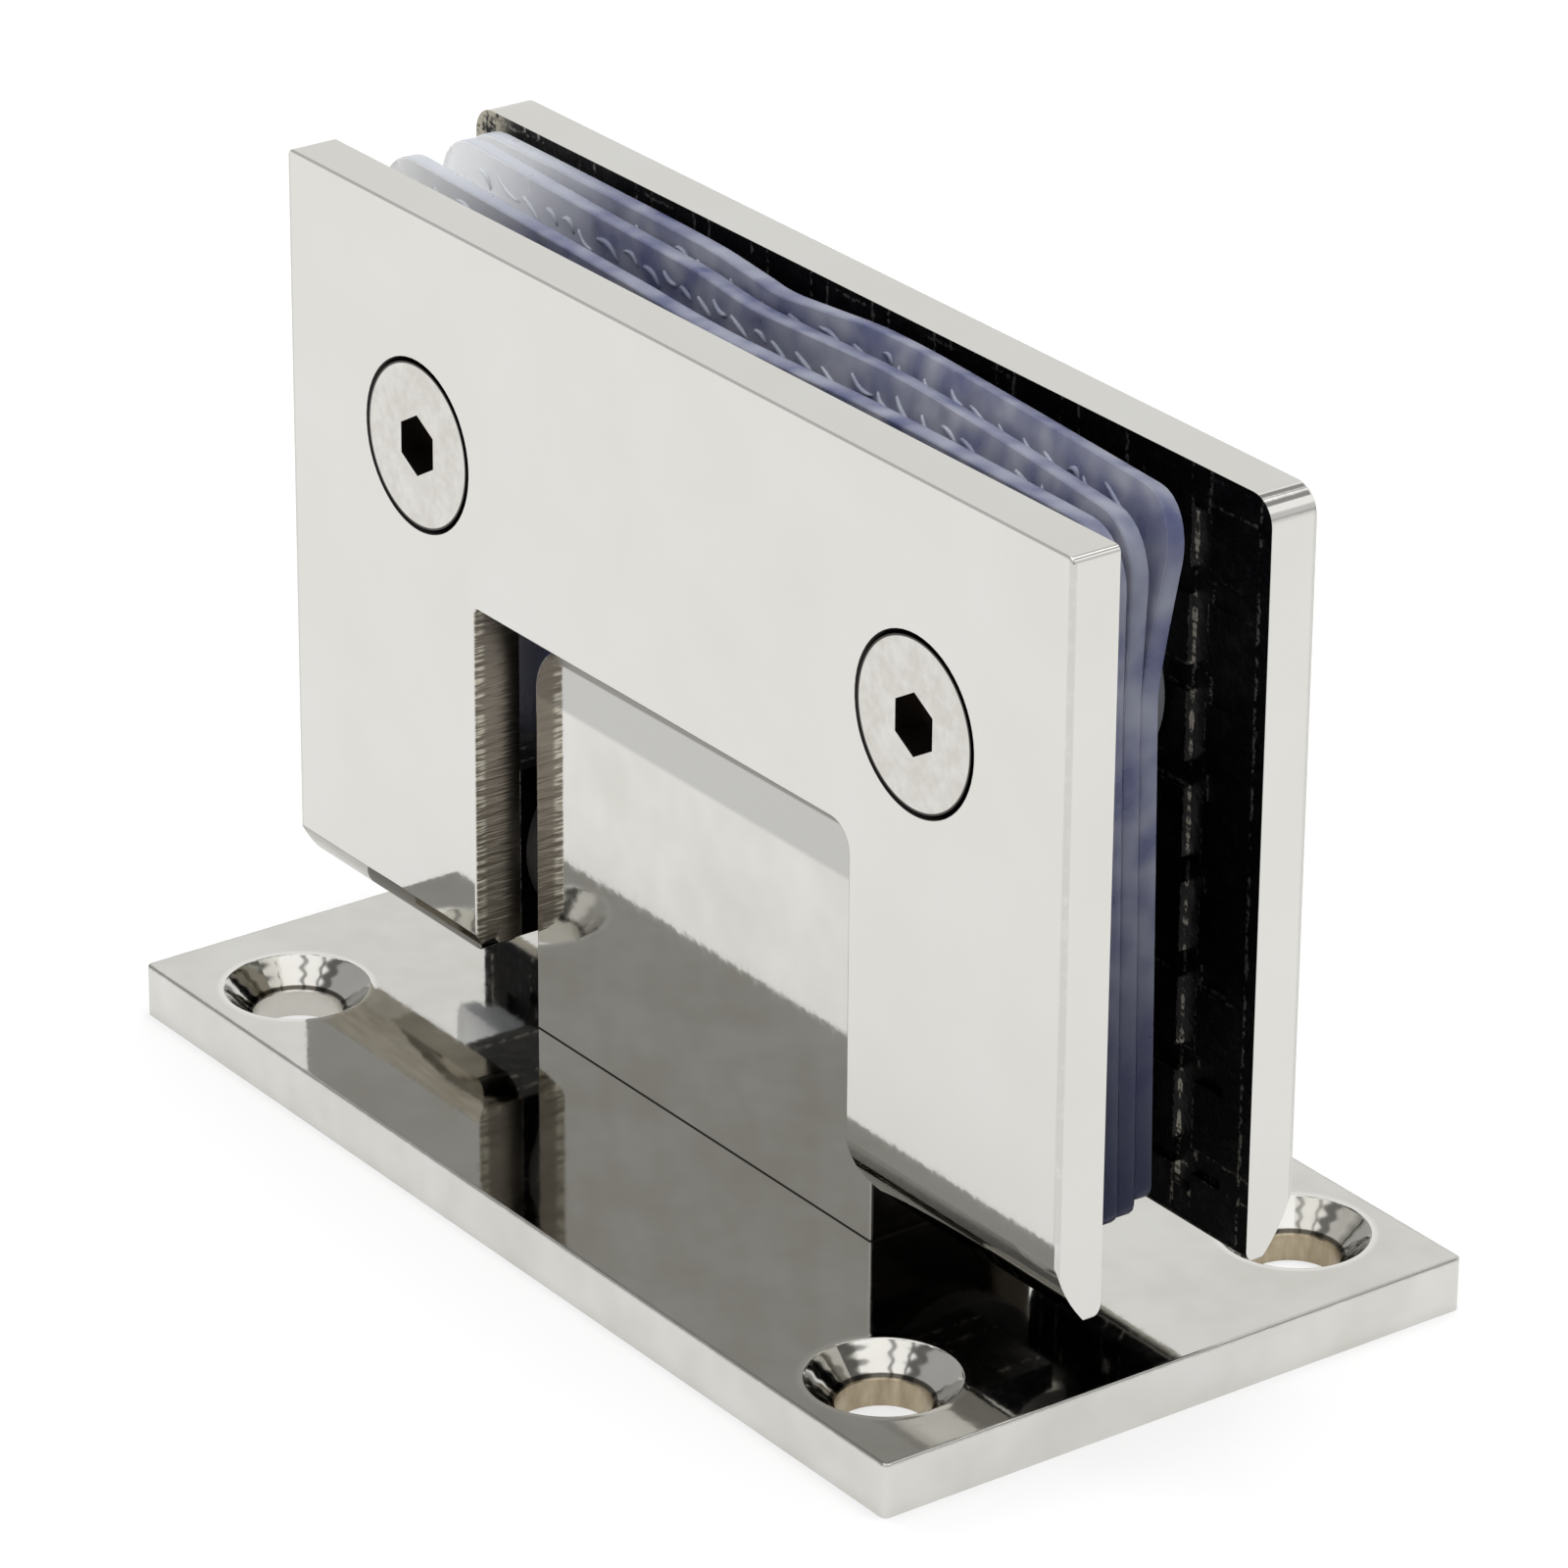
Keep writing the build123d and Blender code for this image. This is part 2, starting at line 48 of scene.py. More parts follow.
class Shade:
    """A value in a material's nodes. Sums, differences and products of it add Math nodes."""

    def __init__(self, tree, socket=None):
        self.tree = tree
        self.socket = socket

    def node(self, kind, settings=None, inputs=None, output=0):
        node = self.tree.nodes.new(kind)
        for name, value in (settings or {}).items():
            setattr(node, name, value)
        for name, value in (inputs or {}).items():
            socket = node.inputs[name]
            if isinstance(value, Shade):
                self.tree.links.new(value.socket, socket)
            else:
                socket.default_value = value
        return Shade(self.tree, node.outputs[output])

    def math(self, operation, *values):
        return self.node("ShaderNodeMath", {"operation": operation}, dict(enumerate(values)))

    def __add__(self, other):
        return self.math("ADD", self, other)

    def __radd__(self, other):
        return self.math("ADD", other, self)

    def __sub__(self, other):
        return self.math("SUBTRACT", self, other)

    def __rsub__(self, other):
        return self.math("SUBTRACT", other, self)

    def __mul__(self, other):
        return self.math("MULTIPLY", self, other)

    def __rmul__(self, other):
        return self.math("MULTIPLY", other, self)

    def above(self, edge, width):
        """0 below the edge, 1 above it, with a soft step of the given width."""
        step = {"From Min": edge - width / 2, "From Max": edge + width / 2, "Value": self}
        return self.node("ShaderNodeMapRange", {"interpolation_type": "SMOOTHSTEP"}, step)

    def abs(self):
        return self.math("ABSOLUTE", self)

    def larger(self, other):
        return self.math("MAXIMUM", self, other)


def colour(red, green, blue):
    return (red, green, blue, 1.0)


class Finish:
    """A new material. Its places are millimetres in the hinge's own frame, its normals unit vectors."""

    def __init__(self, name, **constants):
        self.material = bpy.data.materials.new(name)
        self.material.use_nodes = True
        self.tree = self.material.node_tree
        self.shader = self.tree.nodes["Principled BSDF"]
        for socket, value in constants.items():
            self.shader.inputs[socket.replace("_", " ")].default_value = value
        self.start = Shade(self.tree)

        # Output 3 of the coordinates is the place in the object, and output 1 the normal there.
        metres = self.start.node("ShaderNodeTexCoord", output=3)
        scaled = {0: metres, 3: 1000.0}
        self.place = self.start.node("ShaderNodeVectorMath", {"operation": "SCALE"}, scaled)
        self.x, self.y, self.z = self.split(self.place)
        self.nx, self.ny, self.nz = self.split(self.start.node("ShaderNodeTexCoord", output=1))

    def split(self, vector):
        return [self.start.node("ShaderNodeSeparateXYZ", None, {0: vector}, axis) for axis in range(3)]

    def noise(self, per_mm, detail=2.0, roughness=0.5, stretch=(1.0, 1.0, 1.0)):
        place = self.start.node("ShaderNodeMapping", None, {"Vector": self.place, "Scale": stretch})
        sizes = {"Vector": place, "Scale": per_mm, "Detail": detail, "Roughness": roughness}
        return self.start.node("ShaderNodeTexNoise", None, sizes)

    def from_axis(self, first, second):
        """Distance in mm from an axis, given as pairs of a coordinate and the axis's place along it."""
        a = first[0] - first[1]
        b = second[0] - second[1]
        return self.start.math("SQRT", a * a + b * b)

    def blend(self, factor, first, second):
        """A colour between two. Inputs 6 and 7 of the Mix node are its colours, as is output 2."""
        mix = {"Factor": factor, 6: first, 7: second}
        return self.start.node("ShaderNodeMix", {"data_type": "RGBA"}, mix, 2)

    def feed(self, height, height_mm=0.01, **sockets):
        """Links the varying sockets of the shader, and a bump of the height."""
        bump = {"Height": height, "Distance": height_mm * MM, "Strength": 1.0}
        sockets["Normal"] = self.start.node("ShaderNodeBump", None, bump)
        for name, value in sockets.items():
            self.tree.links.new(value.socket, self.shader.inputs[name.replace("_", " ")])


def dress(node, finish):
    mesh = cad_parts[node].data
    mesh.materials.clear()
    mesh.materials.append(finish.material)


def nearest(distances):
    least = distances[0]
    for distance in distances[1:]:
        least = least.math("MINIMUM", least, distance)
    return least


POLISHED = colour(0.684, 0.678, 0.650)
POLISHED_DULL = colour(0.62, 0.605, 0.565)
WORN_EDGE = colour(0.50, 0.49, 0.465)
PLATE_HALF_LENGTH = 45.0
PLATE_HALF_WIDTH = 24.5
PLATE_THICKNESS = 4.0
HOLE_X = 35.5
HOLE_Y = 17.5
CONE_RADIUS = 5.25
BORE_RADIUS = 3.35

wall = Finish("wall_plate_steel", Metallic=1.0, IOR=2.5)
grain = wall.noise(1.1, 1.5, 0.7)
clouds = wall.noise(0.16, 2.0, 0.65)
hole_axes = [(sx * HOLE_X, sy * HOLE_Y) for sx in (-1, 1) for sy in (-1, 1)]
hole = nearest([wall.from_axis((wall.x, x), (wall.y, y)) for x, y in hole_axes])
in_hole = 1.0 - hole.above(CONE_RADIUS, 0.1)
in_bore = 1.0 - hole.above(BORE_RADIUS, 0.1)

# Burrs round the cones carry a painted highlight, painted shade rings each cone's foot, and the bores are
# as drilled, the front left one painted paler as a painted reflection.
burr_and_highlight = hole.above(CONE_RADIUS + 0.05, 0.1) * (1.0 - hole.above(CONE_RADIUS + 0.45, 0.5))
# A ring of painted shade where each cone meets its bore.
painted_shade_ring = hole.above(BORE_RADIUS - 0.05, 0.08) * (1.0 - hole.above(BORE_RADIUS + 0.25, 0.1))
front_left_bore_reflection = (1.0 - wall.x.above(-20.0, 1.0)) * (1.0 - wall.y.above(0.0, 1.0))
turned = wall.start.math("SINE", hole * 9.0)
ground_in = wall.noise(0.9, 2.0, 0.7, (1.0, 1.0, 0.3))

# The sides keep the grinder's lines, the top edges are worn, and the left end is a little stained.
side = 1.0 - wall.nz.abs().above(0.6, 0.3)
side_lines = wall.noise(0.26, 1.0, 0.6, (0.2, 0.2, 9.0))
from_end = wall.x.abs() - (PLATE_HALF_LENGTH - 0.3)
from_side = wall.y.abs() - (PLATE_HALF_WIDTH - 0.3)
rim = from_end.larger(from_side).above(0.0, 0.2) * wall.z.above(PLATE_THICKNESS - 0.25, 0.1)
rim = rim * grain.above(0.4, 0.4)
stain = (1.0 - wall.x.above(-33.0, 12.0)) * wall.y.above(4.0, 14.0) * clouds.above(0.5, 0.25)
tone = wall.blend(clouds.above(0.5, 0.5), POLISHED, POLISHED_DULL)
tone = wall.blend(stain * 0.6, tone, colour(0.47, 0.43, 0.36))
tone = wall.blend(rim * 0.5, tone, WORN_EDGE)
tone = wall.blend(burr_and_highlight * 0.8, tone, colour(0.82, 0.81, 0.78))
tone = wall.blend(painted_shade_ring, tone, colour(0.10, 0.09, 0.075))
bore_tone = wall.blend(ground_in, colour(0.20, 0.15, 0.09), colour(0.60, 0.52, 0.38))
# The front left bore is painted paler, as a painted reflection.
bore_tone = wall.blend(front_left_bore_reflection, bore_tone, colour(0.62, 0.60, 0.55))
tone = wall.blend(in_bore, tone, bore_tone)
roughness = 0.05 + side * 0.10 + in_hole * 0.03 + in_bore * 0.12 + rim * 0.1
wall.feed(
    grain * 0.2 + clouds * 0.5 + side * side_lines * 2.0 + in_hole * turned * 0.3 + burr_and_highlight * 1.5,
    Base_Color=tone,
    Roughness=roughness + grain.above(0.6, 0.3) * 0.04,
)
dress("wall_plate", wall)


# Pivot block: a milled and polished bar, standing on the wall plate with a hairline joint.
# Its front is a plain mirror, with a band across the top painted darker as the painted reflection of an
# edge rolled over a little, and its ends are painted near black and rougher.
BLOCK_HALF_LENGTH = 20.0
BLOCK_TOP = 34.6
ROLLED_HEIGHT = 4.4
TOP_RIM_HEIGHT = 0.85

block = Finish("pivot_block_steel", Metallic=1.0, IOR=2.5)
grain = block.noise(1.0, 1.5, 0.7)
clouds = block.noise(0.14, 2.0, 0.65)
end = block.nx.abs().above(0.7, 0.3)
end_lines = block.noise(0.3, 1.0, 0.6, (1.0, 0.1, 6.0))
joint = 1.0 - block.z.above(PLATE_THICKNESS + 0.1, 0.1)
# The darker band across the top is a painted reflection.
rolled_reflection_band = block.z.above(BLOCK_TOP - ROLLED_HEIGHT, 0.5)
top_rim = (block.z - block.x * 0.009).above(BLOCK_TOP - TOP_RIM_HEIGHT, 0.2)
# A painted highlight down the block's upright corners, broken by the grain.
corner = (block.x.abs() - (BLOCK_HALF_LENGTH - 0.25)).above(0.0, 0.15) * grain.above(0.35, 0.3)
corner = corner * (1.0 - end)
tone = block.blend(clouds.above(0.5, 0.5), POLISHED, POLISHED_DULL)
tone = block.blend(rolled_reflection_band, tone, colour(0.49, 0.485, 0.468))
tone = block.blend(top_rim, tone, colour(0.26, 0.25, 0.23))
tone = block.blend(corner * 0.5, tone, colour(0.80, 0.79, 0.77))
end_tone = block.blend(end_lines, colour(0.05, 0.046, 0.042), colour(0.12, 0.11, 0.10))
tone = block.blend(end, tone, end_tone)
tone = block.blend(joint, tone, colour(0.03, 0.028, 0.025))
block.feed(
    grain * 0.25 + clouds * 0.6 + end * end_lines * 2.0,
    Base_Color=tone,
    Roughness=0.045 + end * 0.14 + top_rim * 0.15 + joint * 0.4 + grain.above(0.6, 0.3) * 0.03,
)
dress("pivot_block", block)


# Block screws: two flat-headed steel screws that hold the block from under the wall plate,
# with their turned heads flush in it.
screw = Finish("screw_steel", Metallic=1.0, IOR=2.5)
grain = screw.noise(1.4, 3.0, 0.6)
screw.feed(
    grain,
    Base_Color=screw.blend(grain.above(0.5, 0.5), colour(0.66, 0.65, 0.62), colour(0.50, 0.48, 0.45)),
    Roughness=0.16 + grain * 0.12,
)
dress("block_screws", screw)


# Pin bushes: flanged bushes of black nylon, pressed into the block from both ends.
# Their flanges run against the saddles of the clamp.
nylon = Finish("bush_nylon", Specular_IOR_Level=0.4)
grain = nylon.noise(1.1, 4.0, 0.6)
nylon.feed(
    grain,
    0.02,
    Base_Color=nylon.blend(grain, colour(0.012, 0.012, 0.013), colour(0.035, 0.034, 0.034)),
    Roughness=0.38 + grain * 0.2,
)
for place in ("left", "right"):
    dress(f"pin_bush_{place}", nylon)


# Pivot pin, plungers, springs and adjusters: turned and ground steel inside the block. The
# springs press the plungers on the pin's flats, and the adjusters set how hard. Two blackened
# screws hold the pin's ends in the front clamp plate.
ground = Finish("ground_steel", Metallic=1.0, IOR=2.5)
rings = ground.noise(0.5, 2.0, 0.6, (8.0, 0.2, 0.2))
ground.feed(
    rings,
    Base_Color=ground.blend(rings, colour(0.50, 0.48, 0.46), colour(0.36, 0.34, 0.32)),
    Roughness=0.22 + rings * 0.15,
)
blackened = Finish("blackened_steel", Metallic=1.0, IOR=2.5)
grain = blackened.noise(1.2, 3.0, 0.6)
blackened.feed(
    grain,
    Base_Color=blackened.blend(grain, colour(0.03, 0.03, 0.032), colour(0.07, 0.068, 0.066)),
    Roughness=0.25 + grain * 0.2,
)
dress("pivot_pin", ground)
for place in ("left", "right"):
    dress(f"detent_plunger_{place}", ground)
    dress(f"detent_spring_{place}", ground)
    dress(f"adjuster_screw_{place}", screw)
    dress(f"pin_screw_{place}", blackened)


# Front clamp plate: cast stainless steel, ground and mirror polished outside and on its edges.
# The cut-out's walls are only machined, and the inside with its milled grid is painted near black as
# painted shade, with painted highlights along the grid's edges.
SCREW_X = 28.9
SCREW_Z = 47.0
CLAMP_TOP = 64.3
CLAMP_HALF_LENGTH = 45.0
CLAMP_THICKNESS = 3.8
CUT_HALF_WIDTH = 22.0
CUT_TOP = 37.0
SEAT_RADIUS = 6.43
GRID_HALF_PITCH = 3.45
GRID_TOP_ROW = 56.0
HALF_GROOVE = 0.95


def clamp_finish(name, outward, inner_y):
    """The finish of a clamp plate. Outward is the sign of y on its polished side."""
    plate = Finish(name, Metallic=1.0, IOR=2.5)
    grain = plate.noise(1.0, 1.5, 0.7)
    clouds = plate.noise(0.12, 1.5, 0.6)
    cast = plate.noise(0.65, 3.0, 0.75)
    speckle = plate.noise(2.6, 2.0, 0.8)
    depth = (plate.y - inner_y) * -outward
    inside = (plate.ny * -outward).above(0.6, 0.2).larger(depth.above(0.02, 0.03))

    # The cut-out's walls, with the cutter's marks running to a notched and burred front edge.
    marks = plate.noise(0.55, 1.5, 0.7, (0.5, 0.5, 6.0))
    cut_wall = plate.nx.abs().above(0.7, 0.2) * (1.0 - plate.z.above(CUT_TOP + 0.2, 0.2))
    cut_wall = cut_wall * (1.0 - (plate.x.abs() - CUT_HALF_WIDTH).abs().above(0.4, 0.2)) * (1.0 - inside)
    notched = marks.above(0.52, 0.08) * cut_wall
    notches = (plate.y * outward).above(abs(inner_y) + CLAMP_THICKNESS - 0.8, 0.5) * notched
    cut_top = (0.0 - plate.nz).above(0.7, 0.2) * plate.z.above(CUT_TOP - 1.0, 0.2) * (1.0 - inside)

    # The front plate's screw holes are painted dark round the heads, as painted shade. The back plate is
    # plain there. Both have a faint worn line on their upright corners, and painted highlights on their
    # upper edges.
    seat = nearest([plate.from_axis((plate.x, sx * SCREW_X), (plate.z, SCREW_Z)) for sx in (-1, 1)])
    seat_shade = (1.0 - seat.above(SEAT_RADIUS, 0.04)) * (0.0 - plate.y).above(6.0, 1.0)
    corner = (plate.x.abs() - (CLAMP_HALF_LENGTH - 0.35)).above(0.0, 0.2)
    corner = corner * (plate.y * outward).above(abs(inner_y) + CLAMP_THICKNESS - 0.35, 0.2)
    # Rounded upper edges get a painted highlight.
    facing = plate.nx.abs().larger(plate.ny.abs()).larger(plate.nz.abs())
    edge = (1.0 - facing.above(0.975, 0.03)) * plate.nz.above(0.3, 0.2) * (1.0 - inside)

    # Painted highlights streaked along the grid's edges, and a lighter patch at the inside's upper left
    # corner.
    columns = plate.start.math("PINGPONG", plate.x + GRID_HALF_PITCH, GRID_HALF_PITCH)
    rows = plate.start.math("PINGPONG", plate.z - GRID_TOP_ROW, GRID_HALF_PITCH)
    wander = (cast - 0.5) * 0.9
    upright_groove_highlight = 1.0 - (columns - HALF_GROOVE + wander).abs().above(0.14, 0.12)
    level_groove_highlight = 1.0 - (rows - HALF_GROOVE + wander).abs().above(0.10, 0.08)
    level_groove_highlight = level_groove_highlight * clouds.above(0.56, 0.06) * 0.7
    groove_highlight = upright_groove_highlight.larger(level_groove_highlight) * cast.above(0.5, 0.12) * speckle.above(0.47, 0.12)
    # A lighter patch at the inside's upper left corner.
    upper_left_patch = (1.0 - plate.x.above(-41.5, 3.0)) * plate.z.above(58.0, 3.0) * cast.above(0.42, 0.16)

    # The rounded feet of the legs, facing down, are painted darker as a painted reflection, the left one
    # darker still and streaked.
    foot_reflection = (0.0 - plate.nz).above(0.25, 0.1) * (1.0 - plate.z.above(16.0, 1.0)) * (1.0 - inside)
    left_leg = 1.0 - plate.x.above(0.0, 1.0)
    left_foot_tone = plate.blend(marks, colour(0.15, 0.135, 0.105), colour(0.42, 0.39, 0.33))

    tone = plate.blend(clouds.above(0.5, 0.5), POLISHED, colour(0.668, 0.658, 0.622))
    tone = plate.blend(corner * grain.above(0.3, 0.4) * 0.5, tone, WORN_EDGE)
    tone = plate.blend(edge * 0.9, tone, colour(0.90, 0.89, 0.86))
    tone = plate.blend(foot_reflection * 0.5, tone, colour(0.46, 0.45, 0.41))
    tone = plate.blend(foot_reflection * left_leg, tone, left_foot_tone)
    wall_tone = plate.blend(marks, colour(0.17, 0.145, 0.12), colour(0.40, 0.36, 0.31))
    tone = plate.blend(cut_wall, tone, wall_tone)
    tone = plate.blend(notches, tone, colour(0.75, 0.72, 0.62))
    tone = plate.blend(cut_top, tone, colour(0.30, 0.28, 0.25))
    tone = plate.blend(seat_shade, tone, colour(0.02, 0.018, 0.018))
    # The inside is painted near black as painted shade, mottled by the casting noise.
    inside_painted_shade = plate.blend(cast.above(0.6, 0.3), colour(0.010, 0.0095, 0.011), colour(0.032, 0.029, 0.029))
    inside_painted_shade = plate.blend(groove_highlight, inside_painted_shade, colour(0.30, 0.285, 0.25))
    inside_painted_shade = plate.blend(upper_left_patch, inside_painted_shade, colour(0.42, 0.39, 0.32))
    tone = plate.blend(inside, tone, inside_painted_shade)
    plate.feed(
        grain * 0.25 + clouds * 0.6 + cut_wall * marks * 9.0 + inside * cast * 12.0,
        Base_Color=tone,
        Roughness=0.045 + grain.above(0.6, 0.3) * 0.02 + cut_wall * 0.25 + seat_shade * 0.3 + inside * 0.42,
    )
    return plate


dress("front_clamp_plate", clamp_finish("front_clamp_steel", -1, -7.0))


# Back clamp plate: the same casting and polish, with two threaded bosses on its inside.
# Only this plate moves as the clamp is closed on a pane.
dress("back_clamp_plate", clamp_finish("back_clamp_steel", 1, 5.3))


# Clamp screws: M6 flat-headed socket screws that pull the back plate towards the front one.
# Their heads are turned and polished, with the lathe's fine rings still showing.
HEAD_RADIUS = 6.1
SOCKET_RADIUS = 2.6
HEAD_FACE_Y = -10.7

head = Finish("clamp_screw_steel", Metallic=1.0, IOR=2.5)
reach = nearest([head.from_axis((head.x, sx * SCREW_X), (head.z, SCREW_Z)) for sx in (-1, 1)])
rings = head.start.math("SINE", reach * 16.0)
wide_rings = head.start.math("SINE", reach * 4.2)
grain = head.noise(0.8, 3.0, 0.6)
# The socket is painted dark as painted shade in its hollow, and the head's outer edge as painted shade in
# the gap round it.
socket = head.y.above(HEAD_FACE_Y, 0.1) * (1.0 - reach.above(SOCKET_RADIUS, 0.1))
head_edge_shade = reach.above(HEAD_RADIUS - 0.15, 0.1)
tone = head.blend(grain.above(0.5, 0.5), colour(0.675, 0.66, 0.63), colour(0.58, 0.56, 0.52))
tone = head.blend(socket, tone, colour(0.10, 0.085, 0.075))
tone = head.blend(head_edge_shade, tone, colour(0.05, 0.045, 0.04))
head.feed(
    rings * 0.35 + wide_rings * 0.5 + grain * 0.4,
    Base_Color=tone,
    Roughness=0.12 + grain * 0.08 + socket * 0.2,
)
for place in ("left", "right"):
    dress(f"clamp_screw_{place}", head)


# Boss sleeves: short moulded tubes of milky plastic, pushed over the bosses. They keep the
# pane's holes off the steel.
milky = Finish("sleeve_plastic", Transmission_Weight=0.35, IOR=1.49)
grain = milky.noise(0.5, 3.0, 0.6)
milky.feed(
    grain,
    0.02,
    Base_Color=milky.blend(grain, colour(0.30, 0.32, 0.34), colour(0.42, 0.44, 0.47)),
    Roughness=0.25 + grain * 0.2,
)
for place in ("left", "right"):
    dress(f"boss_sleeve_{place}", milky)


# Gaskets: three sheets of clear soft vinyl, stamped to the plates' outline, with frosted edges.
# They hang loose on the sleeves, fan out at the left end and are pressed together on the right.
def smooth_line(points, place):
    """Height of a smooth line through the points at a place, level past its ends."""
    if place <= points[0][0]:
        return points[0][1]
    for index in range(len(points) - 1):
        x0, y0 = points[index]
        x1, y1 = points[index + 1]
        if place <= x1:
            before = points[max(index - 1, 0)]
            after = points[min(index + 2, len(points) - 1)]
            slope0 = (y1 - before[1]) / (x1 - before[0])
            slope1 = (after[1] - y0) / (after[0] - x0)
            t = (place - x0) / (x1 - x0)
            span = x1 - x0
            return (
                y0 * (2 * t**3 - 3 * t**2 + 1)
                + slope0 * span * (t**3 - 2 * t**2 + t)
                + y1 * (3 * t**2 - 2 * t**3)
                + slope1 * span * (t**3 - t**2)
            )
    return points[-1][1]


def rounded_outline(corners, step=0.7):
    """Points round a polygon given as (x, z, radius), with each corner replaced by an arc."""
    points = []
    count = len(corners)
    for index, (x, z, radius) in enumerate(corners):
        here = Vector((x, z))
        before = (Vector(corners[index - 1][:2]) - here).normalized()
        after = (Vector(corners[(index + 1) % count][:2]) - here).normalized()
        half = before.angle(after) / 2
        reach = radius / math.tan(half)
        centre = here + (before + after).normalized() * radius / math.sin(half)
        start = here + before * reach
        end = here + after * reach
        turn = math.pi - 2 * half
        pieces = max(3, int(turn * radius / step))
        first = start - centre
        sign = 1 if first.cross(end - centre) > 0 else -1
        for piece in range(pieces + 1):
            angle = sign * turn * piece / pieces
            points.append(centre + Matrix.Rotation(angle, 2) @ first)
    dense = []
    for index, point in enumerate(points):
        following = points[(index + 1) % len(points)]
        pieces = max(1, round((following - point).length / step))
        for piece in range(pieces):
            dense.append(point.lerp(following, piece / pieces))
    return dense


def inside_loop(loop, point):
    """Whether a point lies inside a closed loop of points."""
    found = False
    for index, corner in enumerate(loop):
        following = loop[(index + 1) % len(loop)]
        if (corner.y > point.y) != (following.y > point.y):
            share = (point.y - corner.y) / (following.y - corner.y)
            if point.x < corner.x + share * (following.x - corner.x):
                found = not found
    return found


SHEET = 1.35
SHEET_HALF_HEIGHT = 24.3
SHEET_LEFT = -43.7
SHEET_RIGHT = 44.3
LEG_X = 32.3
NOTCH_X = 21.7
STEP_HEIGHT = -13.7
NOTCH_TOP = -2.3
SHEET_ROLL = math.radians(1.3)
SHEET_HOLE = 7.0
CURL_FROM = 0.74
RAISED_FROM = -14.0
RIM_BEVEL = 0.22
MESH_SPACING = (1.45, 1.4)
MESH_MARGIN = 0.6
RIBS_FROM = -39.0
RIBS_TO = 38.0
RIB_HEIGHT = 0.24
RIB_SUNK = 0.02

# The flat sheet's outline round its middle: each corner's place along it, height and radius.
sheet_corners = [
    (SHEET_LEFT, SHEET_HALF_HEIGHT, 4.0),
    (SHEET_RIGHT, SHEET_HALF_HEIGHT, 4.0),
    (SHEET_RIGHT, -SHEET_HALF_HEIGHT, 1.0),
    (LEG_X, -SHEET_HALF_HEIGHT, 1.0),
    (LEG_X, STEP_HEIGHT, 1.0),
    (NOTCH_X, STEP_HEIGHT, 1.0),
    (NOTCH_X, NOTCH_TOP, 4.0),
    (-NOTCH_X, NOTCH_TOP, 4.0),
    (-NOTCH_X, STEP_HEIGHT, 1.0),
    (-LEG_X, STEP_HEIGHT, 1.0),
    (-LEG_X, -SHEET_HALF_HEIGHT, 1.0),
    (SHEET_LEFT, -SHEET_HALF_HEIGHT, 1.0),
]

# Each sheet's lift, then the way that its middle runs along its top edge and lower down, as places
# along the clamp and from the front to the back.
sheet_courses = {
    "front": (
        -0.1,
        [(-44, -2.6), (-27, -2.85), (-14, -3.5), (-1, -4.6), (16, -4.65), (28, -5.1), (44, -6.0)],
        [(-44, -2.8), (-14, -3.9), (0, -4.8), (20, -5.4), (44, -6.28)],
    ),
    "middle": (
        0.1,
        [
            (-44, 2.4), (-30, 2.05), (-12, 1.3), (-3, 0.0),
            (2, -0.1), (13, -0.1), (27, -1.6), (44, -4.1),
        ],
        [(-44, 2.2), (-12, 0.6), (0, -0.8), (10, -2.0), (25, -3.7), (44, -4.88)],
    ),
    "rear": (
        0.95,
        [
            (-44, 4.2), (-29, 3.9), (-13, 3.2), (-5, 2.1), (-1.5, 1.6),
            (2, 2.0), (8, 2.7), (17, 2.2), (44, -0.65),
        ],
        [(-44, 4.1), (-13, 2.8), (0, 1.1), (10, -0.3), (25, -2.1), (44, -3.48)],
    ),
}


def vinyl_finish(name, face, pale, low, glow, **constants):
    """Clear soft vinyl, hazy inside and deeper low down, with its left end painted paler as painted
    light.

    A faint glow at the left end, if any, stands in for the light that scatters inside it.
    """
    vinyl = Finish(name, **constants)
    haze = vinyl.noise(0.3, 1.5, 0.6)
    left = 1.0 - (vinyl.x + haze * 6.0).above(-28.0, 18.0)
    deep = 1.0 - vinyl.z.above(36.0, 40.0)
    tone = vinyl.blend(haze.above(0.5, 0.6) * 0.5, face, pale)
    tone = vinyl.blend(deep, tone, low)
    tone = vinyl.blend(left, tone, pale)
    sockets = {"Base_Color": tone, "Roughness": 0.16 + haze * 0.3}
    if glow:
        lit = colour(glow, glow, glow * 1.04)
        sockets["Emission_Color"] = vinyl.blend(left, colour(0.0, 0.0, 0.0), lit)
    vinyl.feed(haze, 0.02, **sockets)
    return vinyl


clear = vinyl_finish(
    "gasket_vinyl",
    colour(0.145, 0.163, 0.32),
    colour(0.97, 0.975, 0.98),
    colour(0.05, 0.055, 0.13),
    0.06,
    Emission_Strength=1.0,
    Transmission_Weight=0.4,
    Specular_IOR_Level=0.35,
    IOR=1.46,
)
frosted = vinyl_finish(
    "gasket_frosted_edge",
    colour(0.073, 0.082, 0.18),
    colour(0.50, 0.52, 0.56),
    colour(0.013, 0.015, 0.045),
    0.0,
    Transmission_Weight=0.2,
    Specular_IOR_Level=0.1,
    IOR=1.46,
)
raised = vinyl_finish(
    "gasket_raised_ribs",
    colour(0.22, 0.24, 0.36),
    colour(0.86, 0.88, 0.92),
    colour(0.09, 0.10, 0.17),
    0.03,
    Emission_Strength=1.0,
    Transmission_Weight=0.2,
    IOR=1.46,
)
draws = random.Random(7)


def sheet_middle(course):
    """The height over the table of a sheet's middle."""
    return CLAMP_TOP - SHEET_RIGHT * math.sin(SHEET_ROLL) - SHEET_HALF_HEIGHT + course[0]


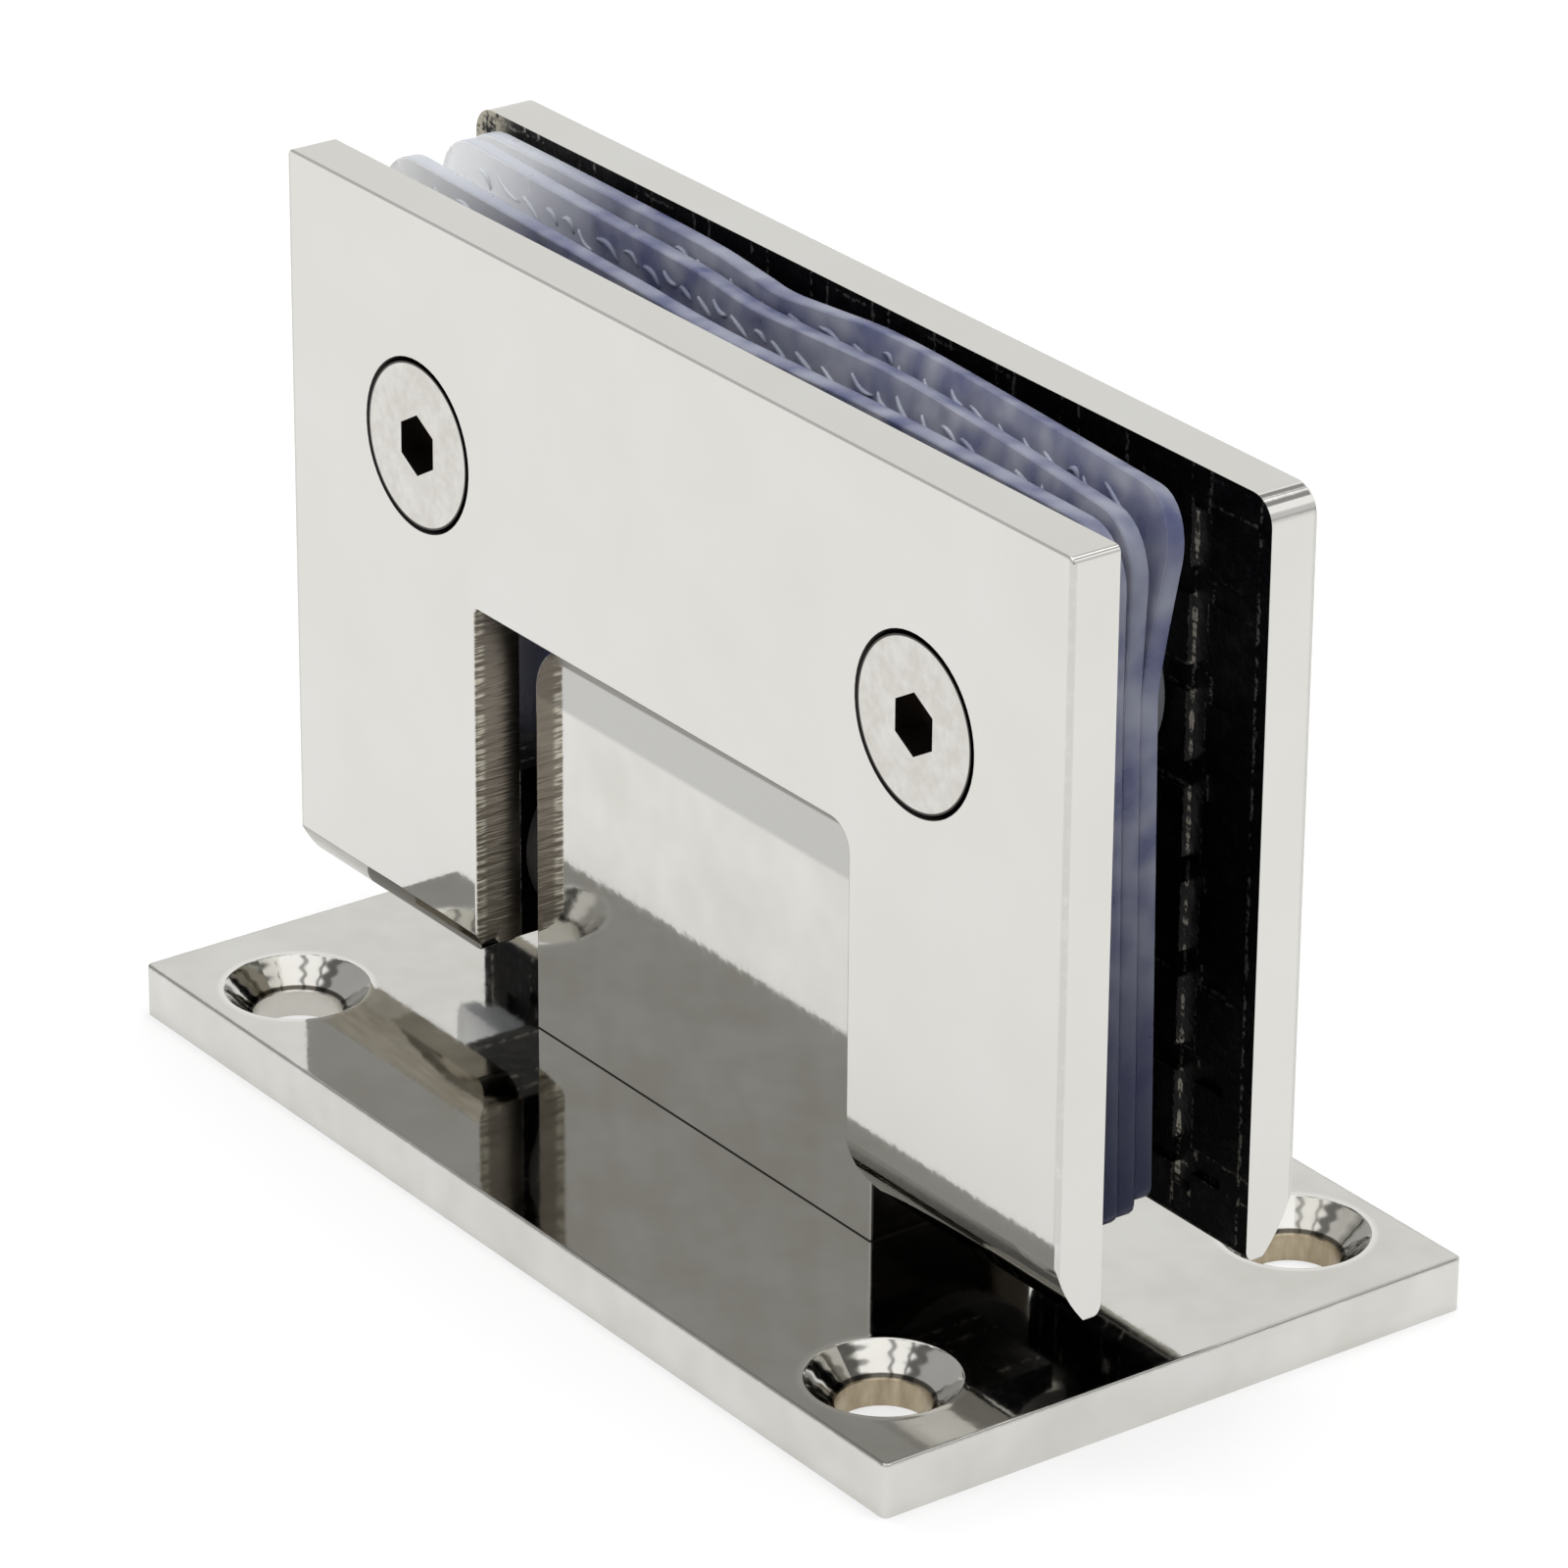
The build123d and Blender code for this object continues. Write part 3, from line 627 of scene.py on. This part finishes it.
def place_on_sheet(course, x, height, off=0.0):
    """Where a place of the flat sheet comes to lie, in metres, off millimetres behind its middle."""
    lift, top, low = course
    share = min(max((height / SHEET_HALF_HEIGHT + 1) / 2, 0.0), 1.0)
    curl = max((share - CURL_FROM) / (1 - CURL_FROM), 0.0) ** 1.15
    y = smooth_line(low, x) * (1 - curl) + smooth_line(top, x) * curl + off
    most = 0.3 if lift > 0.5 else 1.2
    raised_end = most * max((RAISED_FROM - x) / 30.0, 0.0) ** 1.5 * share
    turned_x = x * math.cos(SHEET_ROLL) - height * math.sin(SHEET_ROLL)
    turned_z = x * math.sin(SHEET_ROLL) + height * math.cos(SHEET_ROLL)
    return Vector((turned_x, y, sheet_middle(course) + turned_z + raised_end)) * MM


def flat_hole(course, x, z):
    """The outline of a sleeve's hole in the flat sheet, from its place in the clamp."""
    height = z - sheet_middle(course)
    centre_x = x * math.cos(SHEET_ROLL) + height * math.sin(SHEET_ROLL)
    centre_z = height * math.cos(SHEET_ROLL) - x * math.sin(SHEET_ROLL)
    rim_points = []
    for step in range(48):
        angle = step * math.tau / 48
        along = centre_x + SHEET_HOLE * math.cos(angle)
        rim_points.append(Vector((along, centre_z + SHEET_HOLE * math.sin(angle))))
    return rim_points


def on_sheet(outline, holes, point):
    """Whether a point lies inside the sheet's outline and in none of its holes."""
    return inside_loop(outline, point) and not any(inside_loop(hole, point) for hole in holes)


def sheet_mesh(name, course):
    """The sheet's middle surface, meshed flat and then bowed."""
    outline = rounded_outline(sheet_corners)
    holes = [flat_hole(course, sx * SCREW_X, SCREW_Z) for sx in (-1, 1)]
    points = []
    edges = []
    for loop in [outline, *holes]:
        first = len(points)
        points.extend(loop)
        edges.extend((first + i, first + (i + 1) % len(loop)) for i in range(len(loop)))
    rim_points = list(points)
    for column in range(-30, 31):
        for line in range(-17, 18):
            spot = Vector((column * MESH_SPACING[0], line * MESH_SPACING[1]))
            if min((spot - rim_point).length for rim_point in rim_points) < MESH_MARGIN:
                continue
            if on_sheet(outline, holes, spot):
                points.append(spot)
    flat, _, faces, _, _, _ = delaunay_2d_cdt(points, edges, [], 0, 1e-5)
    kept = []
    for face in faces:
        middle = sum((flat[i] for i in face), Vector((0, 0))) / len(face)
        if on_sheet(outline, holes, middle):
            kept.append(face)
    build = bmesh.new()
    verts = [build.verts.new(place_on_sheet(course, point.x, point.y)) for point in flat]
    for face in kept:
        build.faces.new([verts[i] for i in face])
    bmesh.ops.delete(build, geom=[vert for vert in build.verts if not vert.link_faces], context="VERTS")
    bmesh.ops.recalc_face_normals(build, faces=build.faces)
    return finished_mesh(name, build, clear, frosted)


def finished_mesh(name, build, *finishes):
    mesh = bpy.data.meshes.new(name)
    build.to_mesh(mesh)
    build.free()
    mesh.shade_smooth()
    for finish in finishes:
        mesh.materials.append(finish.material)
    piece = bpy.data.objects.new(name, mesh)
    bpy.context.collection.objects.link(piece)
    return piece


def rib_mesh(name, course):
    """Grip ribs: short slanted and bent ridges, in a row along the sheet's upper edge."""
    build = bmesh.new()
    x = RIBS_FROM + draws.uniform(0.0, 1.0)
    while x < RIBS_TO:
        run = draws.uniform(1.3, 2.9)
        high = Vector((x, SHEET_HALF_HEIGHT - draws.uniform(1.0, 1.7)))
        low = high + Vector((run, -run * draws.uniform(0.25, 0.6)))
        side = (low - high).orthogonal().normalized()
        across = side * draws.uniform(0.18, 0.32)
        bend = side * draws.uniform(-0.45, 0.45)
        rows = []
        for piece in range(7):
            share = piece / 6
            middle = high.lerp(low, share) + bend * math.sin(math.pi * share)
            swell = math.sin(math.pi * (0.06 + 0.88 * share)) ** 0.4
            foot = -SHEET / 2 + RIB_SUNK
            crest = -SHEET / 2 - RIB_HEIGHT * swell
            row = []
            for sideways, off in ((-1, foot), (0, crest), (1, foot)):
                spot = middle + across * (swell * sideways)
                row.append(build.verts.new(place_on_sheet(course, spot.x, spot.y, off)))
            rows.append(row)
        for first, second in zip(rows, rows[1:]):
            for one, other in ((0, 1), (1, 2), (2, 0)):
                build.faces.new((first[one], first[other], second[other], second[one]))
        build.faces.new(rows[0])
        build.faces.new(rows[-1][::-1])
        x += run + draws.uniform(0.3, 0.9)
    bmesh.ops.recalc_face_normals(build, faces=build.faces)
    return finished_mesh(name, build, raised)


for row, course in sheet_courses.items():
    sheet = sheet_mesh(f"gasket_{row}_sheet", course)
    thick = sheet.modifiers.new("thickness", "SOLIDIFY")
    thick.thickness = SHEET * MM
    thick.offset = 0.0
    thick.material_offset_rim = 1
    rim = sheet.modifiers.new("rim", "BEVEL")
    rim.width = RIM_BEVEL * MM
    rim.segments = 2
    rim.limit_method = "ANGLE"
    rim.angle_limit = math.radians(50)
    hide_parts(f"gasket_{row}")
    for piece in (sheet, rib_mesh(f"gasket_{row}_ribs", course)):
        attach(piece, "clamp")


# Studio: a white paper sweep under and behind the hinge, and soft lamps. What the polished
# steel mirrors is pale behind the hinge and a grey room in front of it.
paper = bpy.data.materials.new("white_paper")
paper.use_nodes = True
tree = paper.node_tree
tree.nodes.remove(tree.nodes["Principled BSDF"])
start = Shade(tree)

# The paper is mostly plain white where it is seen, mirrored or shows through the vinyl, and its
# matte share keeps the hinge's shadow.
seen = start.node("ShaderNodeLightPath", None, None, 0)
mirrored = start.node("ShaderNodeLightPath", None, None, 3)
through = start.node("ShaderNodeLightPath", None, None, 6)
matte = start.node("ShaderNodeBsdfDiffuse", None, {"Color": colour(0.86, 0.86, 0.86)})
glow = start.node("ShaderNodeEmission", None, {"Color": colour(1.0, 1.0, 1.0), "Strength": 1.0})
share = seen.larger(mirrored).larger(through) * 0.6
sheet_of_paper = start.node("ShaderNodeMixShader", None, {0: share, 1: matte, 2: glow})
tree.links.new(sheet_of_paper.socket, tree.nodes["Material Output"].inputs["Surface"])
reach = 1.5
build = bmesh.new()
corners = ((-reach, -reach), (reach, -reach), (reach, reach), (-reach, reach))
build.faces.new([build.verts.new((x, y, 0.0)) for x, y in corners])
floor = bpy.data.meshes.new("paper")
build.to_mesh(floor)
build.free()
floor.materials.append(paper)
floor_piece = bpy.data.objects.new("paper", floor)
bpy.context.collection.objects.link(floor_piece)

world = bpy.data.worlds.new("studio")
bpy.context.scene.world = world
world.use_nodes = True
tree = world.node_tree
start = Shade(tree)
direction = start.node("ShaderNodeTexCoord")
east, north, up = [start.node("ShaderNodeSeparateXYZ", None, {0: direction}, axis) for axis in range(3)]

# What the steel mirrors, by direction: a grey room in front, a dim band on the right, a lamp
# panel with bars and a dark frame right above, and a dark line low behind.
room = (1.0 - north.above(0.36, 0.16)) * up.above(0.05, 0.06)
room = room * (1.0 - east.above(0.0, 0.8) * 0.35)
dim_band = east.above(0.55, 0.2) * up.above(0.06, 0.08) * (1.0 - up.above(0.42, 0.12))
panel = up.above(0.80, 0.04)
panel_frame = up.above(0.70, 0.04) * (1.0 - panel)
bars = start.math("PINGPONG", east + 0.05, 0.16).above(0.035, 0.02)
back_line = north.above(0.62, 0.1) * up.above(-0.05, 0.04) * (1.0 - up.above(0.16, 0.06))
brightness = (0.91 - room * 0.45 - dim_band * 0.35 - back_line * 0.6).larger(0.2)
brightness = brightness * (1.0 - panel_frame * 0.7) + panel * (bars * 0.9 - 0.2)

# Seen directly or through the vinyl, it is white.
seen = start.node("ShaderNodeLightPath", None, None, 0)
through = start.node("ShaderNodeLightPath", None, None, 6)
seen = seen.larger(through)
strength = seen + (1.0 - seen) * brightness
tree.links.new(strength.socket, tree.nodes["Background"].inputs["Strength"])
tree.nodes["Background"].inputs["Color"].default_value = colour(1.0, 1.0, 0.99)


def soft_lamp(name, place, size, watts):
    """A square lamp that lights the table and the plastics and isn't mirrored by the steel."""
    lamp = bpy.data.lights.new(name, "AREA")
    lamp.shape = "SQUARE"
    lamp.size = size
    lamp.energy = watts
    piece = bpy.data.objects.new(name, lamp)
    piece.location = place
    piece.rotation_euler = (Vector((0, 0, 0.03)) - Vector(place)).to_track_quat("-Z", "Y").to_euler()
    piece.visible_glossy = False
    bpy.context.collection.objects.link(piece)


soft_lamp("lamp_above", (0.05, 0.15, 1.2), 0.7, 9.0)
soft_lamp("lamp_left", (-0.9, -0.2, 0.8), 0.5, 3.0)


# Camera: a long lens above the right front corner, as the photograph was taken. Its angles,
# lens, aim and distance, in mm, were fitted to the corners and holes in the photograph.
SENSOR = 36.0
FRAME_PIXELS = 1600
FOCAL_PIXELS = 8006
AIM = Vector((0.12, 0.0, 28.97))
DISTANCE = 541.92

azimuth = math.radians(53.66)
elevation = math.radians(24.91)
tilt = math.radians(0.44)
back_x = math.sin(azimuth) * math.cos(elevation)
back_y = -math.cos(azimuth) * math.cos(elevation)
back = Vector((back_x, back_y, math.sin(elevation)))
level = Vector((math.cos(azimuth), math.sin(azimuth), 0.0))
upright = back.cross(level)
right = level * math.cos(tilt) + upright * math.sin(tilt)
above = upright * math.cos(tilt) - level * math.sin(tilt)
camera = bpy.data.cameras.new("camera")
camera.sensor_width = SENSOR
camera.lens = SENSOR * FOCAL_PIXELS / FRAME_PIXELS
camera.clip_start = 0.01
camera_piece = bpy.data.objects.new("camera", camera)
place = AIM * MM + back * DISTANCE * MM
camera_piece.matrix_world = Matrix.Translation(place) @ Matrix((right, above, back)).transposed().to_4x4()
bpy.context.collection.objects.link(camera_piece)
bpy.context.scene.camera = camera_piece
bpy.context.scene.view_settings.view_transform = "Standard"
